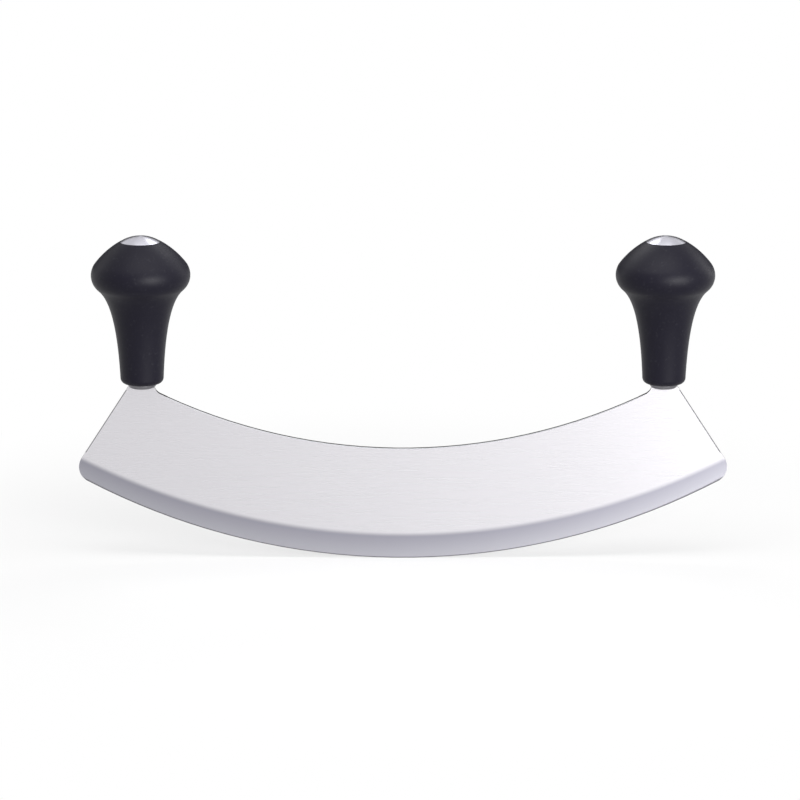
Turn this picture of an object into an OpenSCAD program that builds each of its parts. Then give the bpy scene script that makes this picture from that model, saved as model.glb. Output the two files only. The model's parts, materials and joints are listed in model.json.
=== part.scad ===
// Mincing knife with two knob handles and one curved blade (mezzaluna), in millimetres.
// The blade stands upright along X with the lowest point of its cutting edge at the origin.
// +Z runs up through the handles, and the blade is symmetric about the YZ plane.

/* [Blade] */
// Length of the blade from tip to tip
blade_l = 260; // [252:1:266]
// Depth of the blade at its middle, from spine to cutting edge
blade_depth = 45.5; // [40:0.5:50]
// Thickness of the blade plate
blade_t = 2; // [1.6:0.1:2.6]
// Radius of the cutting edge's arc
edge_r = 267; // [258:1:280]
// Radius of the concave spine's arc
spine_r = 221; // [212:1:230]
// Radius of the arc where the ground bevel starts
bevel_r = 280; // [270:1:295]
// Width of the ground bevel at the middle of the blade
bevel_w = 10; // [8:0.5:12]
// Plate thickness left under the ground bevel, at the middle of the cutting edge
bevel_t = 0.5; // [0.3:0.1:0.8]
// Thickness of the honed cutting edge
edge_t = 0.1; // [0.05:0.05:0.2]
// Angle of the honed edge on each face
hone_a = 30; // [20:1:40]
// Radius of the corner between the blade's end and its cutting edge
corner_r = 6.8; // [4:0.2:9]
// Radius of the fillet between spine and neck
root_r = 4.5; // [3:0.5:6]
// Width of the broken edges along spine and ends
edge_break = 0.3; // [0.1:0.05:0.4]

/* [Neck and collar] */
// Distance of each handle's axis from the blade's tip
handle_inset = 25.8; // [24:0.2:28]
// Width of the blade's neck where it goes up into the handle
neck_w = 9.5; // [8:0.1:10.5]
// Height of the collar's underside above the spine at the neck
neck_h = 1.3; // [1:0.1:3]
// Height that the neck reaches into the handle
neck_in = 2; // [1.6:0.1:3]
// Depth of the shoulder on each face of the neck, under the collar
neck_step = 0.1; // [0.05:0.05:0.2]
// Diameter of the collar
collar_d = 11.6; // [11.2:0.2:12.6]
// Height of the collar that shows below the handle, which is also its edge radius
collar_show = 1.8; // [1.2:0.1:2.4]
// Height of the collar inside the handle
collar_in = 5; // [4:0.5:8]
// Clearance round the neck in the collar's slot
slot_gap = 0.05; // [0.02:0.01:0.1]

/* [Grip] */
// Diameter of the grip at its foot
foot_d = 17.3; // [16.6:0.1:19]
// Radius of the foot's rounded rim
foot_r = 2.4; // [1.4:0.1:2.8]
// Draft of the grip's neck above the foot
neck_draft = 2.6; // [0:0.2:4]
// Diameter of the knob at its widest
knob_d = 39.5; // [36:0.5:43]
// Height of the knob's widest point above the foot
knob_z = 44; // [40:0.5:48]
// Radius of the knob's side
knob_side_r = 7.6; // [6:0.2:9]
// Angle below the widest point where the neck's curve joins the knob
flare_a = 50; // [42:1:56]
// Angle above the widest point where the shoulder starts
shoulder_a = 37.4; // [32:0.2:44]
// Radius of the knob's shoulder
shoulder_r = 34; // [28:1:42]
// Length of the straight pull at the lower end of the neck's curve
neck_pull = 16; // [12:0.5:20]
// Length of the pull at the upper end of the neck's curve
flare_pull = 7.4; // [5:0.2:10]
// Thickness of the soft skin over the handle core
skin_t = 1.6; // [1:0.1:2]
// Thickness of the skin under the handle core
skin_floor = 1.2; // [0.8:0.1:2]

/* [Cap] */
// Diameter of the cap
cap_d = 16; // [15:0.5:18]
// Radius of the cap's dome
cap_dome_r = 15; // [12:0.5:24]
// Height of the cap's straight rim
cap_rim = 1.2; // [0.8:0.1:1.6]
// Thickness of the cap's dome
cap_t = 0.9; // [0.6:0.1:1.2]
// Length of the cap's spigot
spigot_l = 4; // [2:0.5:6]
// Wall thickness of the cap's spigot
spigot_t = 1; // [0.6:0.1:1.2]
// Clearance round the cap in its seat
cap_gap = 0.1; // [0.05:0.05:0.2]

/* [Stud, washer and nut] */
// Diameter of the tang stud
stud_d = 5; // [4:0.5:6]
// Clearance round the stud in the collar, washer and nut
stud_gap = 0.05; // [0.02:0.01:0.1]
// Clearance round the stud in the handle core
bore_gap = 0.2; // [0.1:0.05:0.4]
// Height of the washer's seat above the foot
seat_z = 42.5; // [38:0.5:44]
// Diameter of the counterbore for washer, nut and cap
cbore_d = 13; // [12.5:0.1:13.4]
// Diameter of the washer
washer_d = 10; // [9:0.5:12]
// Thickness of the washer
washer_t = 1; // [0.8:0.1:1.6]
// Width of the nut across its flats
nut_af = 8; // [8:0.5:9]
// Height of the nut
nut_h = 4; // [3:0.5:5]
// Height of the nut's chamfer
nut_cut = 0.4; // [0.2:0.1:0.6]
// Length of stud that stands out of the nut
stud_out = 2; // [1:0.5:3]
// Chamfer on the stud's end and the collar's upper edge
lead_in = 0.5; // [0.3:0.1:0.8]

/* [Hidden] */
$fn = 128;

// Number of straight steps along a small round, and round a long arc's full circle
round_steps = 16;
arc_fn = 1440;
// Angle at which a small round's straight run-out crosses a long arc, and its length
cross_a = 10;
run_out = 3;
// How far a broken edge stops short of a fillet or corner
break_stop = 3;
// How far a cutting shape reaches past the surface that it cuts
past = 1;

left = -1;
right = 1;
faces = [-1, 1];

handle_x = blade_l / 2 - handle_inset;
neck_x0 = handle_x - neck_w / 2;
neck_x1 = handle_x + neck_w / 2;

// Height of the arcs' centres: every arc is lowest at x = 0
edge_z = edge_r;
spine_z = blade_depth + spine_r;
bevel_z = bevel_w + bevel_r;

// The collar's underside, the handle's foot and the neck's top follow the spine
collar_z = spine_z - sqrt(pow(spine_r, 2) - pow(neck_x0, 2)) + neck_h;
handle_z = collar_z + collar_show;
neck_top = handle_z + neck_in;
neck_t = blade_t - 2 * neck_step;

// Centre of the round corner, which lies inside the cutting edge's arc
corner = [
    blade_l / 2 - corner_r,
    edge_z - sqrt(pow(edge_r - corner_r, 2) - pow(blade_l / 2 - corner_r, 2)),
];
corner_a = atan2(corner[1] - edge_z, corner[0]);

// The straight end runs from the neck's outer side and touches the round corner
end_top = [neck_x1, handle_z];
end_v = end_top - corner;
end_a = atan2(end_v[1], end_v[0]) - acos(corner_r / norm(end_v));
end_foot = corner + corner_r * [cos(end_a), sin(end_a)];
end_l = norm(end_top - end_foot);

// Centre of the fillet between spine and neck, and the angle where it meets the spine
root = [
    neck_x0 - root_r,
    spine_z - sqrt(pow(spine_r - root_r, 2) - pow(neck_x0 - root_r, 2)),
];
root_a = atan2(root[1] - spine_z, root[0]);

// Arcs of the grip's outline, as radius and height above the foot
knob_c = [knob_d / 2 - knob_side_r, knob_z];
shoulder_c = knob_c - (shoulder_r - knob_side_r) * [cos(shoulder_a), sin(shoulder_a)];
cap_r = cap_d / 2;
cap_seat_r = cap_r + cap_gap;
cap_z = shoulder_c[1] + sqrt(pow(shoulder_r, 2) - pow(cap_seat_r - shoulder_c[0], 2));
core_top = cap_z - cap_rim;
cap_dome_z = cap_z - sqrt(pow(cap_dome_r, 2) - pow(cap_r, 2));
spigot_r = cbore_d / 2 - cap_gap;
spigot_in_r = spigot_r - spigot_t;

// Points along an arc from angle a0 to angle a1
function arc(centre, r, a0, a1, steps) = [
    for (i = [0:steps])
        let (a = a0 + (a1 - a0) * i / steps)
        centre + r * [cos(a), sin(a)]
];

// Point on a cubic curve, and its direction
function cubic(p, t) =
    pow(1 - t, 3) * p[0] + 3 * pow(1 - t, 2) * t * p[1]
    + 3 * (1 - t) * t * t * p[2] + pow(t, 3) * p[3];
function cubic_dir(p, t) =
    pow(1 - t, 2) * (p[1] - p[0]) + 2 * (1 - t) * t * (p[2] - p[1])
    + t * t * (p[3] - p[2]);

// The grip's neck from its foot to the knob, moved in by an inset square to the curve
neck_start = [foot_d / 2, foot_r];
neck_end = knob_c + knob_side_r * [cos(flare_a), -sin(flare_a)];
neck_curve = [
    neck_start,
    neck_start + neck_pull * [sin(neck_draft), cos(neck_draft)],
    neck_end - flare_pull * [sin(flare_a), cos(flare_a)],
    neck_end,
];
function neck_line(inset) = [
    for (i = [0:round_steps])
        let (
            t = i / round_steps,
            d = cubic_dir(neck_curve, t)
        )
        cubic(neck_curve, t) - inset * [d[1], -d[0]] / norm(d)
];

// The grip's side from its neck to the cap's seat, moved in by an inset
function side_line(inset) = concat(
    neck_line(inset),
    arc(knob_c, knob_side_r - inset, -flare_a, shoulder_a, round_steps),
    arc(
        shoulder_c, shoulder_r - inset, shoulder_a,
        acos((cap_seat_r - shoulder_c[0]) / (shoulder_r - inset)), round_steps
    )
);

function backwards(points) = [for (i = [len(points) - 1:-1:0]) points[i]];

// Points along an arc, carried on straight from its last point so that it crosses what it meets
function arc_run_out(centre, r, a0, a1, steps, turn) = concat(
    arc(centre, r, a0, a1, steps),
    [centre + r * [cos(a1), sin(a1)] + turn * run_out * [-sin(a1), cos(a1)]]
);

// The blade's right end: its straight end and round corner, run out past the cutting edge
right_end = concat(
    [[0, neck_top], [neck_x1, neck_top], end_top],
    arc_run_out(corner, corner_r, end_a, corner_a + cross_a, round_steps, -1),
    [[blade_l / 2, -past], [0, -past]]
);

// The right neck and its fillet, run out into the plate below the spine
right_neck = concat(
    [[blade_l / 2, neck_top], [neck_x0, neck_top]],
    arc_run_out(root, root_r, 0, root_a + cross_a, round_steps, -1),
    [[blade_l / 2, 0]]
);

module both_ends() {
    children();
    mirror([1, 0, 0])
        children();
}

module blade_outline() {
    difference() {
        intersection() {
            translate([0, edge_z])
                circle(r = edge_r, $fn = arc_fn);
            polygon(concat(right_end, [for (p = backwards(right_end)) [-p[0], p[1]]]));
        }
        difference() {
            translate([0, spine_z])
                circle(r = spine_r, $fn = arc_fn);
            both_ends()
                polygon(right_neck);
        }
    }
}

// A flat ring round the blade's plane that cuts along an arc, drawn as radius and height
module ring_cut(centre, points, a0 = 0, a1 = 360) {
    for (face = faces)
        translate([centre[0], centre[1], 0])
            rotate_extrude(start = a0, angle = a1 - a0, $fn = arc_fn)
                polygon([for (p = points) [p[0], face * p[1]]]);
}

// The ground bevel: a straight taper that starts on the plate's face at bevel_r
module bevel_cut() {
    reach = bevel_w + past;
    slope = (blade_t - bevel_t) / 2 / bevel_w;
    ring_cut([0, bevel_z], [
        [bevel_r, blade_t / 2],
        [bevel_r + reach, blade_t / 2 - reach * slope],
        [bevel_r + reach, blade_t / 2 + past],
        [bevel_r, blade_t / 2 + past],
    ]);
}

// The honed edge: a short steep taper down to the cutting edge
module hone_cut() {
    reach = blade_t / 2 / tan(hone_a);
    ring_cut([0, edge_z], [
        [edge_r - reach, (edge_t + blade_t) / 2],
        [edge_r, edge_t / 2],
        [edge_r + past, edge_t / 2],
        [edge_r + past, (edge_t + blade_t) / 2],
    ]);
}

// Broken edges along the spine, up to the fillets at the necks
module spine_break() {
    stop_a = root_a - break_stop / spine_r * 180 / PI;
    ring_cut([0, spine_z], [
        [spine_r - past, blade_t / 2 - edge_break - past],
        [spine_r + edge_break + past, blade_t / 2 + past],
        [spine_r - past, blade_t / 2 + past],
    ], -180 - stop_a, stop_a);
}

// Broken edges along the straight end of the blade's right half
module end_break() {
    break_l = end_l - 2 * break_stop;
    for (face = faces)
        translate([end_foot[0], end_foot[1], 0])
            rotate([0, 0, end_a])
                translate([0, break_stop + break_l, 0])
                    rotate([90, 0, 0])
                        linear_extrude(height = break_l)
                            polygon([
                                [-edge_break - past, face * (blade_t / 2 + past)],
                                [past, face * (blade_t / 2 - edge_break - past)],
                                [past, face * (blade_t / 2 + past)],
                            ]);
}

// A slab of the blade's outline between two heights
module plate(thickness, z0, z1) {
    translate([0, 0, -thickness / 2])
        linear_extrude(height = thickness)
            intersection() {
                blade_outline();
                translate([-blade_l / 2, z0])
                    square([blade_l, z1 - z0]);
            }
}

module blade() {
    color("#d8d7dc")
        rotate([90, 0, 0])
            difference() {
                union() {
                    plate(blade_t, -past, collar_z);
                    plate(neck_t, collar_z - past, neck_top + past);
                }
                bevel_cut();
                hone_cut();
                spine_break();
                both_ends()
                    end_break();
            }
}

// Puts a piece of the handle on its axis, with the handle's foot at height 0
module handle(side) {
    translate([side * handle_x, 0, handle_z])
        children();
}

module stud_hole(gap) {
    translate([0, 0, -collar_show - past])
        cylinder(d = stud_d + 2 * gap, h = cap_z + collar_show + 2 * past);
}

module tang_stud() {
    top = seat_z + washer_t + nut_h + stud_out;
    color("#a9aab0")
        rotate_extrude()
            polygon([
                [0, neck_in],
                [stud_d / 2, neck_in],
                [stud_d / 2, top - lead_in],
                [stud_d / 2 - lead_in, top],
                [0, top],
            ]);
}

module collar() {
    collar_r = collar_d / 2;
    slot_t = neck_t + 2 * slot_gap;
    color("#8b8b90")
        difference() {
            rotate_extrude()
                polygon(concat(
                    [[0, -collar_show]],
                    arc([collar_r - collar_show, 0], collar_show, -90, 0, round_steps),
                    [
                        [collar_r, collar_in - lead_in],
                        [collar_r - lead_in, collar_in],
                        [0, collar_in],
                    ]
                ));
            translate([-collar_d, -slot_t / 2, -collar_show - past])
                cube([2 * collar_d, slot_t, neck_in + collar_show + past]);
            translate([0, 0, neck_in])
                cylinder(d = stud_d + 2 * stud_gap, h = collar_in);
        }
}

module handle_core() {
    collar_hole_r = collar_d / 2 + cap_gap;
    stud_hole_r = stud_d / 2 + bore_gap;
    color("#3c3c42")
        rotate_extrude()
            polygon(concat(
                [
                    [collar_hole_r, skin_floor],
                    [foot_d / 2 - skin_t, skin_floor],
                ],
                side_line(skin_t),
                [
                    [cap_seat_r, core_top],
                    [cbore_d / 2, core_top],
                    [cbore_d / 2, seat_z],
                    [stud_hole_r, seat_z],
                    [stud_hole_r, collar_in],
                    [collar_hole_r, collar_in],
                ]
            ));
}

module grip() {
    collar_hole_r = collar_d / 2 + cap_gap;
    color("#29282e")
        rotate_extrude()
            polygon(concat(
                [[collar_hole_r, 0]],
                arc([foot_d / 2 - foot_r, foot_r], foot_r, -90, 0, round_steps),
                side_line(0),
                backwards(side_line(skin_t)),
                [
                    [foot_d / 2 - skin_t, skin_floor],
                    [collar_hole_r, skin_floor],
                ]
            ));
}

module washer() {
    color("#b9bac0")
        translate([0, 0, seat_z])
            difference() {
                cylinder(d = washer_d, h = washer_t);
                stud_hole(stud_gap);
            }
}

module nut() {
    nut_r = nut_af / 2 / cos(30);
    color("#aeb0b6")
        translate([0, 0, seat_z + washer_t])
            difference() {
                intersection() {
                    cylinder(r = nut_r, h = nut_h, $fn = 6);
                    rotate_extrude()
                        polygon([
                            [0, 0],
                            [nut_r + past, 0],
                            [nut_r + past, nut_h - nut_cut - past],
                            [nut_af / 2, nut_h],
                            [0, nut_h],
                        ]);
                }
                stud_hole(stud_gap);
            }
}

module cap() {
    inner_r = cap_dome_r - cap_t;
    color("#c9c9d1")
        rotate_extrude()
            polygon(concat(
                arc([0, cap_dome_z], cap_dome_r, 90, acos(cap_r / cap_dome_r), round_steps),
                [
                    [cap_r, core_top],
                    [spigot_r, core_top],
                    [spigot_r, core_top - spigot_l],
                    [spigot_in_r, core_top - spigot_l],
                ],
                arc([0, cap_dome_z], inner_r, acos(spigot_in_r / inner_r), 90, round_steps)
            ));
}

blade();
handle(left) tang_stud();  // left_tang_stud
handle(left) collar();  // left_collar
handle(left) handle_core();  // left_handle_core
handle(left) grip();  // left_grip
handle(left) washer();  // left_washer
handle(left) nut();  // left_nut
handle(left) cap();  // left_cap
handle(right) tang_stud();  // right_tang_stud
handle(right) collar();  // right_collar
handle(right) handle_core();  // right_handle_core
handle(right) grip();  // right_grip
handle(right) washer();  // right_washer
handle(right) nut();  // right_nut
handle(right) cap();  // right_cap
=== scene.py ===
"""The mezzaluna in a white studio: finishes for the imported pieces, lamps and the photograph's camera.

Lengths are metres in the CAD frame: +X along the blade, +Y away from the camera, +Z up. Colours are linear.
Noise waves are counted per metre, and a relief is a strength and a depth.
"""

import json
import math

import bmesh
import bpy
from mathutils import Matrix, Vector


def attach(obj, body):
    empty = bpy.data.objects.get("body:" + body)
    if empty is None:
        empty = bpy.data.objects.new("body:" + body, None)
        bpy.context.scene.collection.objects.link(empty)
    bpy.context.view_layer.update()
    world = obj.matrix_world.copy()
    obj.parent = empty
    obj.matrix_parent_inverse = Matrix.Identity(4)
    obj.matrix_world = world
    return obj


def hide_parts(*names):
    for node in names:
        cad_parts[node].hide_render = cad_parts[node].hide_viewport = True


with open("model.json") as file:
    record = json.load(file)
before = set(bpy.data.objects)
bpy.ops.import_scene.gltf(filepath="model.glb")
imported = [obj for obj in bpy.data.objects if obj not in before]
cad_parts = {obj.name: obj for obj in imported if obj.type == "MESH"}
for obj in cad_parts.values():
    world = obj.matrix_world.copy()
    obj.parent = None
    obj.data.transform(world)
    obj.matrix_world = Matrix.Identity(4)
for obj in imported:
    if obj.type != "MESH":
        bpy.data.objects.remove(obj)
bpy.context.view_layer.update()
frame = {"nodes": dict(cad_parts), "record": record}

# Packed vertices closer than this are one
SEAM_GAP = 1e-7

# Faces that meet at less than this are shaded as one: the bevel leaves the plate at 4.3 degrees
SMOOTH_ANGLE = math.radians(24)
BLADE_SMOOTH_ANGLE = math.radians(3.6)

# Noise values seldom leave this span
NOISE_SPAN = (0.3, 0.7)

# How far brushing or turning stretches a highlight, and the turn that lays it along the rings
BRUSHED = 0.7
QUARTER_TURN = 0.25

# The photograph's camera, with lens and sensor in millimetres
CAMERA_TARGET = Vector((-0.0012, 0, 0.06527))
CAMERA_ELEVATION = math.radians(13)
CAMERA_DISTANCE = 1.634
CAMERA_LENS = 183.87
CAMERA_SENSOR = 36

# The floor's side and grey, its plain white share near the object, and from where to where that grows to 1
FLOOR_SIZE = 40
FLOOR_GREY = 0.70
FLOOR_WHITE = 0.5
FLOOR_FADE = (0.1, 0.28)

# The dark card behind the object: its place, its width and height, and its grey
CARD_PLACE = (0, 1.2, 0.35)
CARD_SIZE = (2.6, 0.55)
CARD_GREY = 0.04

# Each lamp's place, the point that it faces, its width, its height and its glow
LAMPS = {
    "top_box": ((0, -0.22, 0.8), (0, 0, 0.08), 0.8, 0.36, 2.8),
    "right_box": ((0.8, -1.5, 0.45), (0, 0, 0.05), 1.1, 0.8, 11.5),
    "middle_box": ((0, 0.12, 0.28), (0, 0.1, 0.1), 0.14, 0.06, 3.6),
    "front_strip": ((0.0, -1.5, 0.15), (0, 0, 0.09), 0.08, 0.2, 3),
    "left_strip": ((-1.1, 0.75, 0.5), (-0.1, 0, 0.09), 0.12, 0.9, 1.5),
    "right_strip": ((1.1, 0.75, 0.5), (0.1, 0, 0.09), 0.15, 0.9, 4),
}

# Watts a square metre of a lamp whose glow is 1
LAMP_WATTS = 4

# The world's light on what it fills, beside the white that the camera and shiny faces see
WORLD_FILL = 0.6
WHITE = (1, 1, 1, 1)


def node(tree, kind, inputs=None, **settings):
    """A new shader node with its settings, and with its inputs set or joined."""
    made = tree.nodes.new("ShaderNode" + kind)
    for key, value in settings.items():
        setattr(made, key, value)
    for key, value in (inputs or {}).items():
        if isinstance(value, bpy.types.NodeSocket):
            tree.links.new(value, made.inputs[key])
        else:
            made.inputs[key].default_value = value
    return made


def material(name, **values):
    """A new material, its node tree and its Principled shader with uniform values set."""
    made = bpy.data.materials.new(name)
    made.use_nodes = True
    shader = made.node_tree.nodes["Principled BSDF"]
    for key, value in values.items():
        shader.inputs[key.replace("_", " ")].default_value = value
    return made, made.node_tree, shader


def emptied(owner):
    """The node tree of a material or a world, with its first nodes deleted."""
    owner.use_nodes = True
    owner.node_tree.nodes.clear()
    return owner.node_tree


def math_node(tree, operation, a, b=0.0):
    """The result of one sum on two numbers or sockets."""
    return node(tree, "Math", {0: a, 1: b}, operation=operation).outputs[0]


def ramp(tree, value, low, high, start, end, smooth=False):
    """A number that goes from start to end while value goes from low to high."""
    inputs = {"Value": value, "From Min": low, "From Max": high, "To Min": start, "To Max": end}
    kind = "SMOOTHSTEP" if smooth else "LINEAR"
    return node(tree, "MapRange", inputs, interpolation_type=kind).outputs["Result"]


def blend_colour(tree, factor, a, b):
    """Colour a where factor is 0, and colour b where it is 1."""
    mix = node(tree, "Mix", {"Factor": factor}, data_type="RGBA")
    # Inputs 6 and 7 are a colour mix's two colours, and output 2 is its result
    for socket, colour in ((mix.inputs[6], a), (mix.inputs[7], b)):
        if isinstance(colour, bpy.types.NodeSocket):
            tree.links.new(colour, socket)
        else:
            socket.default_value = (*colour, 1)
    return mix.outputs[2]


def noise(tree, place, waves, detail=3.0):
    """A noise value from 0 to 1, with one number of waves, or one for each axis."""
    size = waves if isinstance(waves, tuple) else (waves, waves, waves)
    mapped = node(tree, "Mapping", {"Vector": place, "Scale": size}).outputs["Vector"]
    return node(tree, "TexNoise", {"Vector": mapped, "Scale": 1.0, "Detail": detail}).outputs["Fac"]


def relief(tree, shader, height, strength, depth):
    """Relief on a shader, whose full height is depth."""
    made = node(tree, "Bump", {"Height": height, "Strength": strength, "Distance": depth})
    tree.links.new(made.outputs["Normal"], shader.inputs["Normal"])


def place_of(tree):
    """The place on the piece, in metres of the CAD frame."""
    return node(tree, "TexCoord").outputs["Object"]


def length_of(tree, vector):
    """A vector's length."""
    return node(tree, "VectorMath", {0: vector}, operation="LENGTH").outputs["Value"]


def flattened(tree, vector, plane):
    """A vector without the axes where plane is 0."""
    return node(tree, "VectorMath", {0: vector, 1: plane}, operation="MULTIPLY").outputs["Vector"]


def arc_radius(tree, place, centre_z):
    """Distance in the blade's plane from an arc's centre over the middle of the blade."""
    inputs = {0: flattened(tree, place, BLADE_PLANE), 1: (0, 0, centre_z)}
    return node(tree, "VectorMath", inputs, operation="DISTANCE").outputs["Value"]


def seen_share(tree):
    """1 for rays from the camera, off shiny faces and through clear ones, and 0 for all others."""
    path = node(tree, "LightPath")
    seen = math_node(tree, "MAXIMUM", path.outputs["Is Camera Ray"], path.outputs["Is Glossy Ray"])
    return math_node(tree, "MAXIMUM", seen, path.outputs["Is Transmission Ray"])


# The plane of the blade's arcs
BLADE_PLANE = (1, 0, 1)

# The bevel's arc where it leaves the plate, its width, and how far to each side of that arc its tone fades
BEVEL_R = 0.280
BEVEL_W = 0.010
BEVEL_SOFT = 0.0013

# The cutting edge's arc, the width of its honed line, and the share of painted shade on that line, a dark
# line for the shadowed floor the edge reflects
EDGE_R = 0.267
HONE_W = 0.00045
EDGE_SHADE_SHARE = 0.85

# The blade's colours: the plate's darkest and lightest, the bevel's from its top to its foot, and the rest
PLATE_DARK = (0.64, 0.627, 0.655)
PLATE_LIGHT = (0.652, 0.64, 0.668)
# The bevel is darker than the plate, and its lightening from top to foot is painted light, making up for the
# shadowed floor it reflects near the edge
BEVEL_TOP = (0.272, 0.269, 0.312)
BEVEL_FOOT_PAINTED_LIGHTER = (0.4, 0.396, 0.434)
# The spine and ends are darker partly for their sheared finish and partly as painted shade, for the dark
# line the spine shows
SHEARED_AND_PAINTED_SHADE = (0.22, 0.22, 0.23)
# Painted shade on the honed line, for the shadowed floor under the blade that the edge reflects
PAINTED_EDGE_SHADE = (0.1, 0.1, 0.11)

# A normal's share along Y up to which a face is sheared, and from which it is plate or bevel
SHEARED_FACING = (0.75, 0.95)

# The blade's brushing and patches along X, Y and Z, its roughness, what the bevel adds to it, and its relief
BRUSH_WAVES = (22, 6000, 6000)
PATCH_WAVES = (13.2, 22, 22)
PLATE_ROUGHNESS = (0.27, 0.285)
BEVEL_ROUGHER = 0.12
BRUSH_RELIEF = (0.02, 0.00001)


def blade_colour(tree, place, bevel_radius, on_bevel):
    """Plate, bevel with painted light towards its foot, spine and ends darkened partly by painted shade, and
    painted shade on the honed edge.
    """
    # Painted light: the bevel grows lighter from its top to its foot
    bevel_painted_lightening = ramp(tree, bevel_radius, BEVEL_R, BEVEL_R + BEVEL_W, 0, 1)
    plate = blend_colour(tree, noise(tree, place, PATCH_WAVES), PLATE_DARK, PLATE_LIGHT)
    bevel = blend_colour(tree, bevel_painted_lightening, BEVEL_TOP, BEVEL_FOOT_PAINTED_LIGHTER)
    polished = blend_colour(tree, on_bevel, plate, bevel)

    normal = node(tree, "SeparateXYZ", {0: node(tree, "NewGeometry").outputs["Normal"]})
    facing = math_node(tree, "ABSOLUTE", normal.outputs["Y"])
    # Spine and ends take the darker colour: sheared finish and painted shade together
    spine_and_ends_shaded = blend_colour(tree, ramp(tree, facing, *SHEARED_FACING, 1, 0), polished, SHEARED_AND_PAINTED_SHADE)

    edge_radius = arc_radius(tree, place, EDGE_R)
    # A thin dark line of painted shade along the cutting edge
    on_edge_shade = ramp(tree, edge_radius, EDGE_R - HONE_W, EDGE_R - HONE_W / 2, 0, EDGE_SHADE_SHARE)
    return blend_colour(tree, on_edge_shade, spine_and_ends_shaded, PAINTED_EDGE_SHADE)


def blade_steel():
    """Plate brushed along its length, with a darker ground bevel, painted shade on the honed edge, and a
    sheared spine partly darkened by painted shade.
    """
    made, tree, shader = material("blade_steel", Metallic=1.0, Anisotropic=BRUSHED)
    place = place_of(tree)
    bevel_radius = arc_radius(tree, place, BEVEL_R + BEVEL_W)
    on_bevel = ramp(tree, bevel_radius, BEVEL_R - BEVEL_SOFT, BEVEL_R + BEVEL_SOFT, 0, 1, smooth=True)
    tree.links.new(blade_colour(tree, place, bevel_radius, on_bevel), shader.inputs["Base Color"])

    streaks = noise(tree, place, BRUSH_WAVES)
    coarse = math_node(tree, "MULTIPLY", on_bevel, BEVEL_ROUGHER)
    rough = math_node(tree, "ADD", ramp(tree, streaks, *NOISE_SPAN, *PLATE_ROUGHNESS), coarse)
    tree.links.new(rough, shader.inputs["Roughness"])
    across = node(tree, "CombineXYZ", {"Z": 1.0}).outputs["Vector"]
    tree.links.new(across, shader.inputs["Tangent"])
    relief(tree, shader, streaks, *BRUSH_RELIEF)
    return made


# Each turned steel's darkest and lightest ring, its roughness, and its rings' waves in the piece's width
# The collars' steel is painted darker, as shade from the dark handles above them
COLLAR_LOOK_PAINTED_SHADE = ((0.15, 0.148, 0.16), (0.19, 0.187, 0.20), 0.3, 60)
CAP_LOOK = ((0.50, 0.495, 0.55), (0.56, 0.555, 0.61), 0.32, 90)

# How far rings and specks change a turned steel's roughness, the specks' waves, and the rings' relief
RING_ROUGHNESS = 0.03
SPECK_ROUGHNESS = 0.02
SPECK_WAVES = 1500
RING_RELIEF = (0.2, 0.00002)

# The piece's own axis in its box, the plane square to it, and where the rings' noise is read
TURNED_AXIS = (0.5, 0.5, 0)
TURNED_PLANE = (1, 1, 0)
RING_SLICE = 0.5


def turned_steel(name, dark, light, roughness, rings):
    """Steel finished on a lathe: rings round the piece's own axis, over fine specks."""
    made, tree, shader = material(name, Metallic=1.0, Anisotropic=BRUSHED, Anisotropic_Rotation=QUARTER_TURN)
    specks = noise(tree, place_of(tree), SPECK_WAVES)
    in_box = node(tree, "TexCoord").outputs["Generated"]
    centred = node(tree, "VectorMath", {0: in_box, 1: TURNED_AXIS}, operation="SUBTRACT").outputs["Vector"]
    radius = length_of(tree, flattened(tree, centred, TURNED_PLANE))
    slice_place = node(tree, "CombineXYZ", {"X": radius, "Y": RING_SLICE}).outputs["Vector"]
    lathe = noise(tree, slice_place, rings, detail=4.0)
    tree.links.new(blend_colour(tree, lathe, dark, light), shader.inputs["Base Color"])

    ringed = ramp(tree, lathe, *NOISE_SPAN, roughness - RING_ROUGHNESS, roughness + RING_ROUGHNESS)
    specked = ramp(tree, specks, 0, 1, -SPECK_ROUGHNESS, SPECK_ROUGHNESS)
    tree.links.new(math_node(tree, "ADD", ringed, specked), shader.inputs["Roughness"])
    tangent = node(tree, "Tangent", direction_type="RADIAL", axis="Z").outputs["Tangent"]
    tree.links.new(tangent, shader.inputs["Tangent"])
    relief(tree, shader, lathe, *RING_RELIEF)
    return made


# The grip's darkest and lightest skin, and the dust on it: colour, share, and the noise from none to full
SKIN_DARK = (0.0028, 0.0022, 0.007)
SKIN_LIGHT = (0.0048, 0.0042, 0.0095)
DUST_COLOUR = (0.03, 0.03, 0.036)
DUST_SHARE = 0.3
DUST_SPAN = (0.6, 0.75)

# The grip's waves of grain, rubbed patches and dust, its roughness from fresh to rubbed, what the grain
# changes in that, its shine and its relief
GRAIN_WAVES = 2600
RUBBED_WAVES = 45
DUST_WAVES = 900
SKIN_ROUGHNESS = (0.5, 0.44)
GRAIN_ROUGHNESS = 0.03
SKIN_SHINE = 0.16
GRAIN_RELIEF = (0.22, 0.00008)


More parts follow.
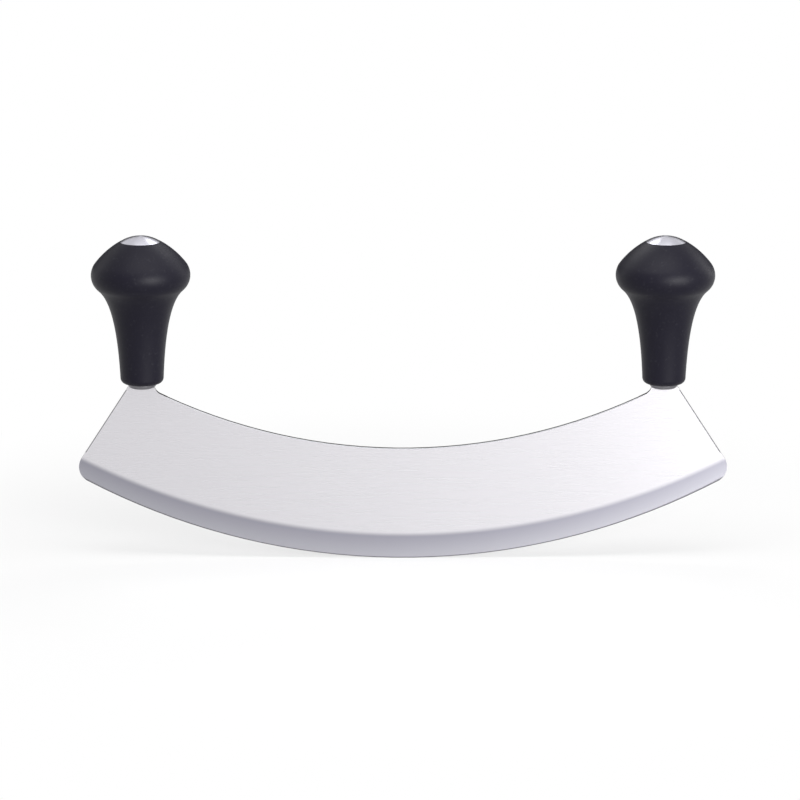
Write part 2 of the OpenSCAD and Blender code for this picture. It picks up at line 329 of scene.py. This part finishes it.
def soft_grip():
    """Black soft-touch skin with a fine matt grain, faint rubbed patches and a little dust."""
    made, tree, shader = material("soft_grip", Specular_IOR_Level=SKIN_SHINE)
    place = place_of(tree)
    grain = noise(tree, place, GRAIN_WAVES, detail=2.0)
    rubbed = noise(tree, place, RUBBED_WAVES, detail=4.0)
    dust = ramp(tree, noise(tree, place, DUST_WAVES), *DUST_SPAN, 0, 1)
    skin = blend_colour(tree, rubbed, SKIN_DARK, SKIN_LIGHT)
    dusty = blend_colour(tree, math_node(tree, "MULTIPLY", dust, DUST_SHARE), skin, DUST_COLOUR)
    tree.links.new(dusty, shader.inputs["Base Color"])

    worn = ramp(tree, rubbed, *NOISE_SPAN, *SKIN_ROUGHNESS)
    grained = ramp(tree, grain, 0, 1, -GRAIN_ROUGHNESS, GRAIN_ROUGHNESS)
    tree.links.new(math_node(tree, "ADD", worn, grained), shader.inputs["Roughness"])
    relief(tree, shader, grain, *GRAIN_RELIEF)
    return made


# The core's darkest and lightest, its waves, its roughness, its shine and its relief
CORE_DARK = (0.04, 0.04, 0.048)
CORE_LIGHT = (0.055, 0.055, 0.064)
CORE_WAVES = 1200
CORE_ROUGHNESS = (0.4, 0.55)
CORE_SHINE = 0.4
CORE_RELIEF = (0.15, 0.00008)


def core_plastic():
    """Hard black moulding under the skin."""
    made, tree, shader = material("core_plastic", Specular_IOR_Level=CORE_SHINE)
    grain = noise(tree, place_of(tree), CORE_WAVES)
    tree.links.new(blend_colour(tree, grain, CORE_DARK, CORE_LIGHT), shader.inputs["Base Color"])
    tree.links.new(ramp(tree, grain, 0, 1, *CORE_ROUGHNESS), shader.inputs["Roughness"])
    relief(tree, shader, grain, *CORE_RELIEF)
    return made


# The hardware's darkest and lightest, its waves along X, Y and Z, its roughness and its relief
STOCK_DARK = (0.5, 0.5, 0.52)
STOCK_LIGHT = (0.6, 0.6, 0.62)
STOCK_WAVES = (600, 600, 2400)
STOCK_ROUGHNESS = (0.28, 0.42)
STOCK_RELIEF = (0.15, 0.00003)


def hardware_steel():
    """Plain stainless stock of stud, washer and nut."""
    made, tree, shader = material("hardware_steel", Metallic=1.0)
    marks = noise(tree, place_of(tree), STOCK_WAVES)
    tree.links.new(blend_colour(tree, marks, STOCK_DARK, STOCK_LIGHT), shader.inputs["Base Color"])
    tree.links.new(ramp(tree, marks, *NOISE_SPAN, *STOCK_ROUGHNESS), shader.inputs["Roughness"])
    relief(tree, shader, marks, *STOCK_RELIEF)
    return made


FINISHES = {
    "blade_steel": blade_steel(),
    "collar_steel": turned_steel("collar_steel", *COLLAR_LOOK_PAINTED_SHADE),
    "cap_steel": turned_steel("cap_steel", *CAP_LOOK),
    "hardware_steel": hardware_steel(),
    "core_plastic": core_plastic(),
    "soft_grip": soft_grip(),
}
SLOTS = {part["node"]: part["material_slot"] for part in frame["record"]["subparts"]}


def dressed(name):
    """Stands in for a CAD piece: the same shape with its seams joined, smooth shading and a finish."""
    mesh = bpy.data.meshes.new(name + "_skin")
    work = bmesh.new()
    work.from_mesh(frame["nodes"][name].data)
    bmesh.ops.remove_doubles(work, verts=work.verts, dist=SEAM_GAP)
    for face in work.faces:
        face.smooth = True
    work.to_mesh(mesh)
    work.free()
    mesh.set_sharp_from_angle(angle=BLADE_SMOOTH_ANGLE if name == "blade" else SMOOTH_ANGLE)
    mesh.materials.append(FINISHES[SLOTS[name]])
    piece = bpy.data.objects.new(name + "_dressed", mesh)
    bpy.context.scene.collection.objects.link(piece)
    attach(piece, "root")
    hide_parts(name)


def studio_floor():
    """Wide white floor: partly plain white to the camera, so that it keeps the object's soft shadow."""
    bpy.ops.mesh.primitive_plane_add(size=FLOOR_SIZE, location=(0, 0, 0))
    floor = bpy.context.object
    floor.name = "studio_floor"
    made = bpy.data.materials.new("studio_floor")
    tree = emptied(made)
    grey = (FLOOR_GREY, FLOOR_GREY, FLOOR_GREY, 1)
    lit = node(tree, "BsdfDiffuse", {"Color": grey}).outputs[0]
    plain = node(tree, "Emission", {"Color": WHITE, "Strength": 1.0}).outputs[0]
    whiter = ramp(tree, length_of(tree, place_of(tree)), *FLOOR_FADE, FLOOR_WHITE, 1, smooth=True)
    share = math_node(tree, "MULTIPLY", seen_share(tree), whiter)
    surface = node(tree, "MixShader", {0: share, 1: lit, 2: plain}).outputs[0]
    node(tree, "OutputMaterial", {"Surface": surface})
    floor.data.materials.append(made)


def dark_card():
    """A dark card behind the object, which only reflections see."""
    bpy.ops.mesh.primitive_plane_add(size=1, location=CARD_PLACE, rotation=(math.radians(90), 0, 0))
    card = bpy.context.object
    card.name = "back_card"
    card.scale = (*CARD_SIZE, 1)
    made = bpy.data.materials.new("back_card")
    tree = emptied(made)
    grey = (CARD_GREY, CARD_GREY, CARD_GREY, 1)
    shade = node(tree, "Emission", {"Color": grey, "Strength": 1.0}).outputs[0]
    node(tree, "OutputMaterial", {"Surface": shade})
    card.data.materials.append(made)
    card.visible_camera = False
    card.visible_diffuse = False
    card.visible_shadow = False
    card.visible_transmission = False


def softbox(name, place, aim, width, height, glow):
    """A rectangular area lamp that points at aim, with glow as its brightness beside white."""
    lamp = bpy.data.lights.new(name, "AREA")
    lamp.shape = "RECTANGLE"
    lamp.size = width
    lamp.size_y = height
    lamp.energy = glow * LAMP_WATTS * width * height
    box = bpy.data.objects.new(name, lamp)
    box.location = place
    box.visible_camera = False
    box.rotation_euler = (Vector(aim) - Vector(place)).to_track_quat("-Z", "Y").to_euler()
    bpy.context.scene.collection.objects.link(box)


def white_world():
    """White to the camera and in reflections, and a plain fill light on everything else."""
    world = bpy.data.worlds.new("white_studio")
    bpy.context.scene.world = world
    tree = emptied(world)
    strength = ramp(tree, seen_share(tree), 0, 1, WORLD_FILL, 1.0)
    sky = node(tree, "Background", {"Color": WHITE, "Strength": strength}).outputs[0]
    node(tree, "OutputWorld", {"Surface": sky})


def photo_camera():
    """The photograph's long lens, a little above the blade."""
    data = bpy.data.cameras.new("photo_camera")
    data.sensor_width = CAMERA_SENSOR
    data.lens = CAMERA_LENS
    camera = bpy.data.objects.new("photo_camera", data)
    back = Vector((0, -math.cos(CAMERA_ELEVATION), math.sin(CAMERA_ELEVATION)))
    camera.location = CAMERA_TARGET + CAMERA_DISTANCE * back
    camera.rotation_euler = (math.radians(90) - CAMERA_ELEVATION, 0, 0)
    bpy.context.scene.collection.objects.link(camera)
    bpy.context.scene.camera = camera


for part_name in frame["nodes"]:
    dressed(part_name)
studio_floor()
dark_card()
for lamp_name, lamp_values in LAMPS.items():
    softbox(lamp_name, *lamp_values)
white_world()
photo_camera()

bpy.context.scene.view_settings.view_transform = "Standard"
